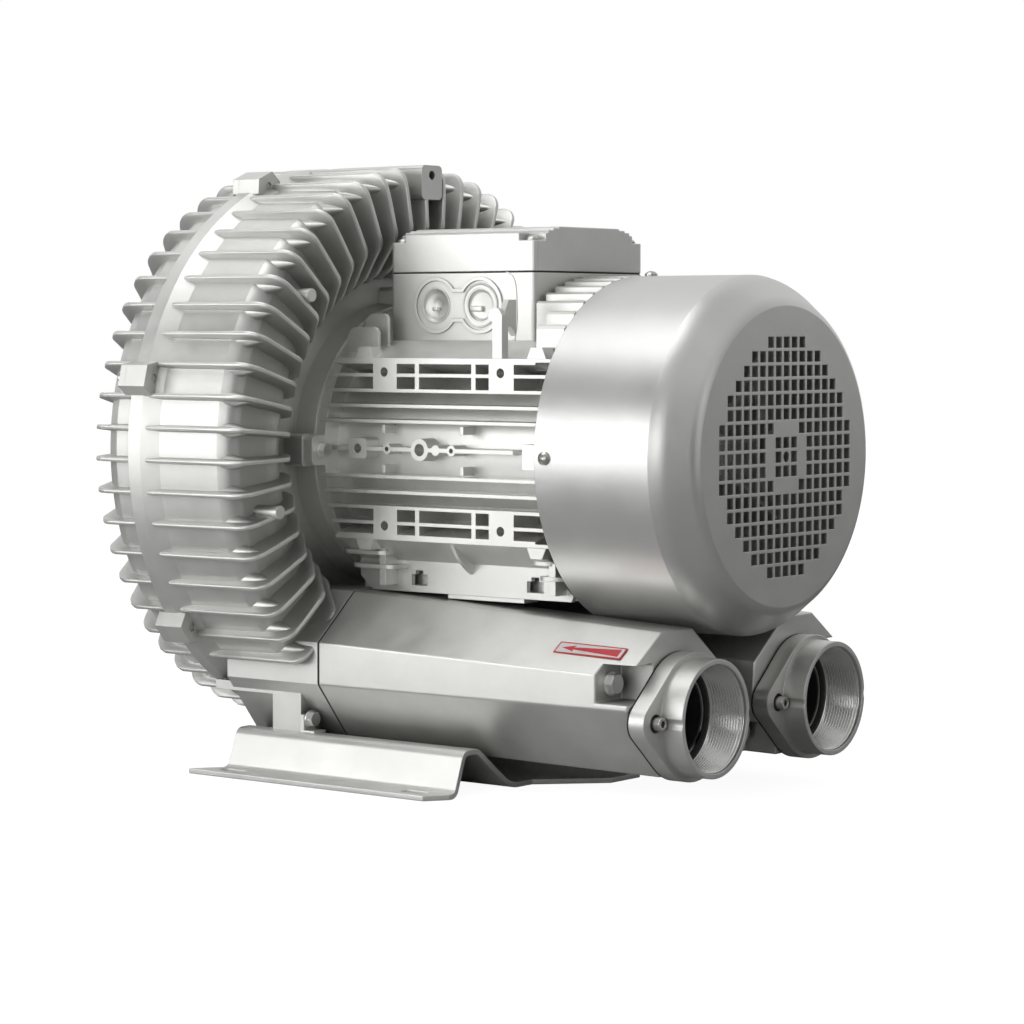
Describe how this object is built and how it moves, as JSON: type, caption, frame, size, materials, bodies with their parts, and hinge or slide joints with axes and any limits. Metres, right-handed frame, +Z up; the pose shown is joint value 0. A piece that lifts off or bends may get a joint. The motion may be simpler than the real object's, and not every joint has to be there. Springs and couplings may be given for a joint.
{
  "type": "side channel blower",
  "caption": "Side channel blower with ribbed housing, finned motor, fan cowl with square-hole grille, terminal box, two threaded ports on silencers and a bent sheet foot.",
  "frame": {"origin": "centre of the four foot slots, on the floor", "axes": "+X along the shaft towards the fan cowl and the port mouths, +Z up from the floor, -Y towards the inlet"},
  "size_m": [0.4906, 0.4338, 0.453],
  "materials": {
    "cast_aluminium": "fine satin cast aluminium",
    "painted_sheet": "silver paint, slightly brushed",
    "bright_steel": "zinc plated, satin",
    "core_steel": "dark laminated steel",
    "black_rubber": "matt",
    "grey_foam": "open foam",
    "grey_plastic": "moulded, satin",
    "black_plastic": "moulded, matt",
    "brass": "turned",
    "copper_winding": "varnished copper wire",
    "red_label": "printed white and red foil"
  },
  "bodies": {
    "machine": {"base_frame": "painted_sheet", "cable_entry_plugs": "grey_plastic", "cover_screws": "bright_steel", "cowl_screws": "bright_steel", "drive_bearing_outer_ring": "bright_steel", "drive_end_shield": "cast_aluminium", "fan_bearing_outer_ring": "bright_steel", "fan_cowl": "painted_sheet", "fan_end_screws": "bright_steel", "fan_end_shield": "cast_aluminium", "flange_bolts": "bright_steel", "flow_arrow_label": "red_label", "foot_bolts": "bright_steel", "impeller_cover": "cast_aluminium", "impeller_housing": "cast_aluminium", "inlet_foam_liner": "grey_foam", "inlet_perforated_tube": "bright_steel", "inlet_port_flange": "cast_aluminium", "inlet_port_gasket": "black_rubber", "inlet_seam_gasket": "black_rubber", "inlet_silencer_housing": "cast_aluminium", "lid_gasket": "black_rubber", "lid_screws": "bright_steel", "motor_frame": "cast_aluminium", "outlet_foam_liner": "grey_foam", "outlet_perforated_tube": "bright_steel", "outlet_port_flange": "cast_aluminium", "outlet_port_gasket": "black_rubber", "outlet_seam_gasket": "black_rubber", "outlet_silencer_housing": "cast_aluminium", "port_screws": "bright_steel", "shaft_seal": "black_rubber", "silencer_bolts": "bright_steel", "stator_core": "core_steel", "stator_windings": "copper_winding", "terminal_block": "black_plastic", "terminal_box": "cast_aluminium", "terminal_box_lid": "cast_aluminium", "terminal_studs": "brass", "wave_washer": "bright_steel"},
    "rotor": {"shaft": "bright_steel", "impeller": "cast_aluminium", "impeller_key": "bright_steel", "impeller_washer": "bright_steel", "impeller_bolt": "bright_steel", "rotor_core": "core_steel", "rotor_end_rings": "cast_aluminium", "drive_bearing_inner_ring": "bright_steel", "fan_bearing_inner_ring": "bright_steel", "cooling_fan": "grey_plastic", "fan_key": "bright_steel", "fan_circlip": "bright_steel"},
    "drive_bearing_train": {"drive_bearing_balls": "bright_steel", "drive_bearing_cage": "bright_steel"},
    "fan_bearing_train": {"fan_bearing_balls": "bright_steel", "fan_bearing_cage": "bright_steel"}
  },
  "joints": [
    {"name": "rotor_spin", "type": "hinge", "parent": "machine", "child": "rotor", "pos_m": [0, 0, 0.24], "axis": [1, 0, 0], "continuous": true},
    {"name": "drive_train_spin", "type": "hinge", "parent": "machine", "child": "drive_bearing_train", "pos_m": [-0.046, 0, 0.24], "axis": [1, 0, 0], "continuous": true},
    {"name": "fan_train_spin", "type": "hinge", "parent": "machine", "child": "fan_bearing_train", "pos_m": [0.1595, 0, 0.24], "axis": [1, 0, 0], "continuous": true}
  ],
  "couplings": [
    {"joint": "drive_train_spin", "follows": "rotor_spin", "ratio": 0.4},
    {"joint": "fan_train_spin", "follows": "rotor_spin", "ratio": 0.3972}
  ]
}
